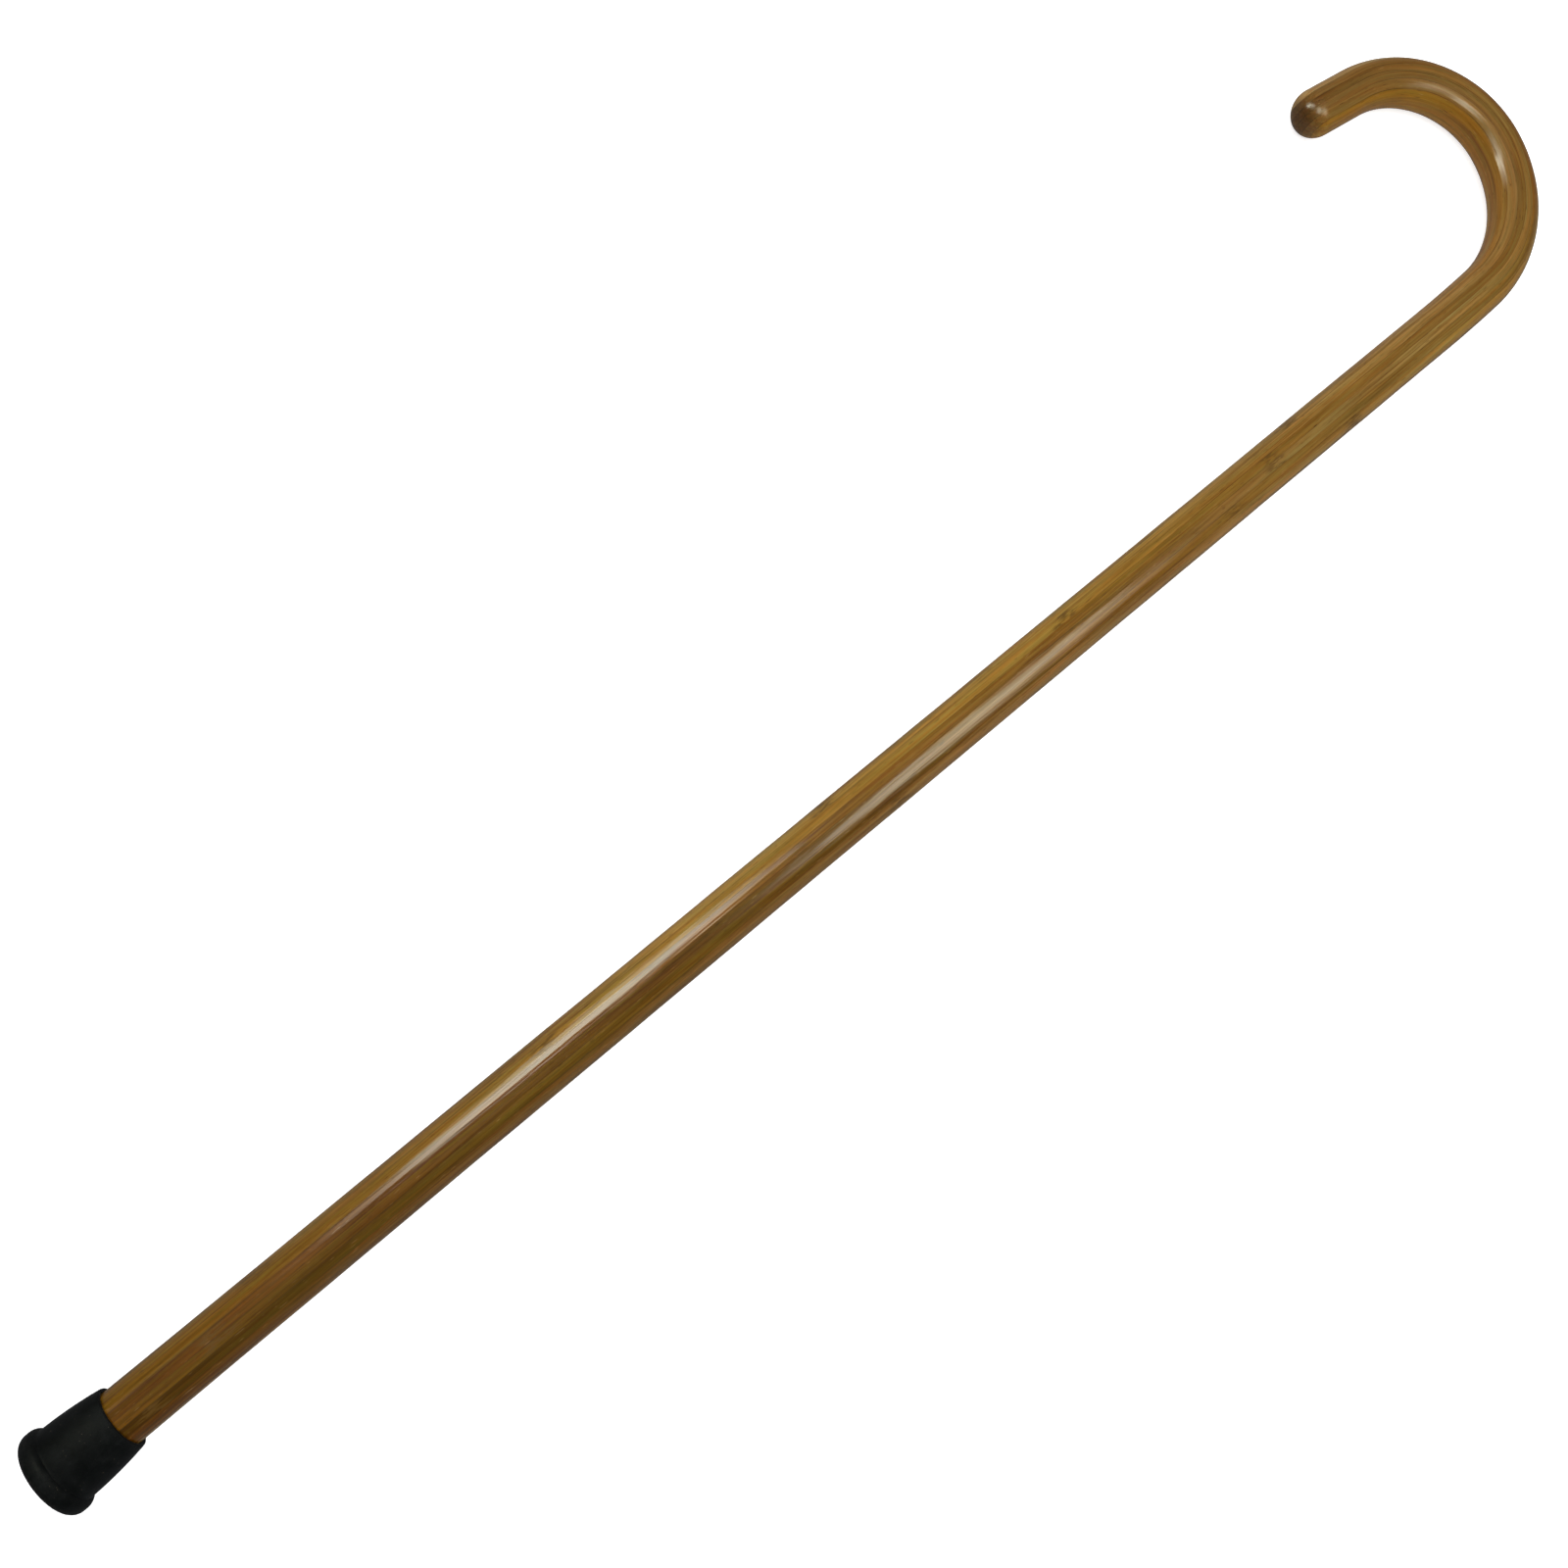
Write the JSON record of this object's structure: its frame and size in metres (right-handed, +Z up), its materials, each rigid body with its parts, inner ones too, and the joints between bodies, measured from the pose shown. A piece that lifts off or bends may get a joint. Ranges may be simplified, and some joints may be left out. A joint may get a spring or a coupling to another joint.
{
  "type": "crook-handled walking cane",
  "caption": "Walking cane of laminated bamboo, round shaft bent into a crook handle with a domed tip, ending in a push-on rubber ferrule.",
  "frame": {"origin": "bottom centre of the box of the cane as it lies on a floor, resting on the ferrule's flange and the underside of the crook", "axes": "+X along the shaft from the ferrule towards the crook (the shaft slopes down to the crook by 0.40 degrees, as it does on a flat floor), +Y towards the side that the crook's tip is on, +Z up, square to the plane that the crook is bent in"},
  "size_m": [0.914, 0.1534, 0.0366],
  "materials": {
    "bamboo_pale": "pale caramel bamboo under gloss varnish",
    "bamboo_golden": "golden tan bamboo with fine straight fibres under gloss varnish",
    "bamboo_dark": "darker caramel brown bamboo with flecks under gloss varnish",
    "bamboo_orange": "orange-brown bamboo under gloss varnish",
    "bamboo_light": "light golden bamboo under gloss varnish",
    "rubber_black": "matt black moulded rubber, slightly dusty",
    "zinc_steel": "zinc-plated pressed steel"
  },
  "bodies": {
    "stick": {"bamboo_strip_1": "bamboo_pale", "bamboo_strip_2": "bamboo_golden", "bamboo_strip_3": "bamboo_dark", "bamboo_strip_4": "bamboo_orange", "bamboo_strip_5": "bamboo_dark", "bamboo_strip_6": "bamboo_light", "bamboo_strip_7": "bamboo_golden"},
    "ferrule": {"rubber_ferrule": "rubber_black", "steel_washer": "zinc_steel"}
  },
  "joints": [
    {"name": "ferrule_pull", "type": "slide", "parent": "stick", "child": "ferrule", "axis": [-1, 0, 0.007], "range_m": [0, 0.04]}
  ]
}
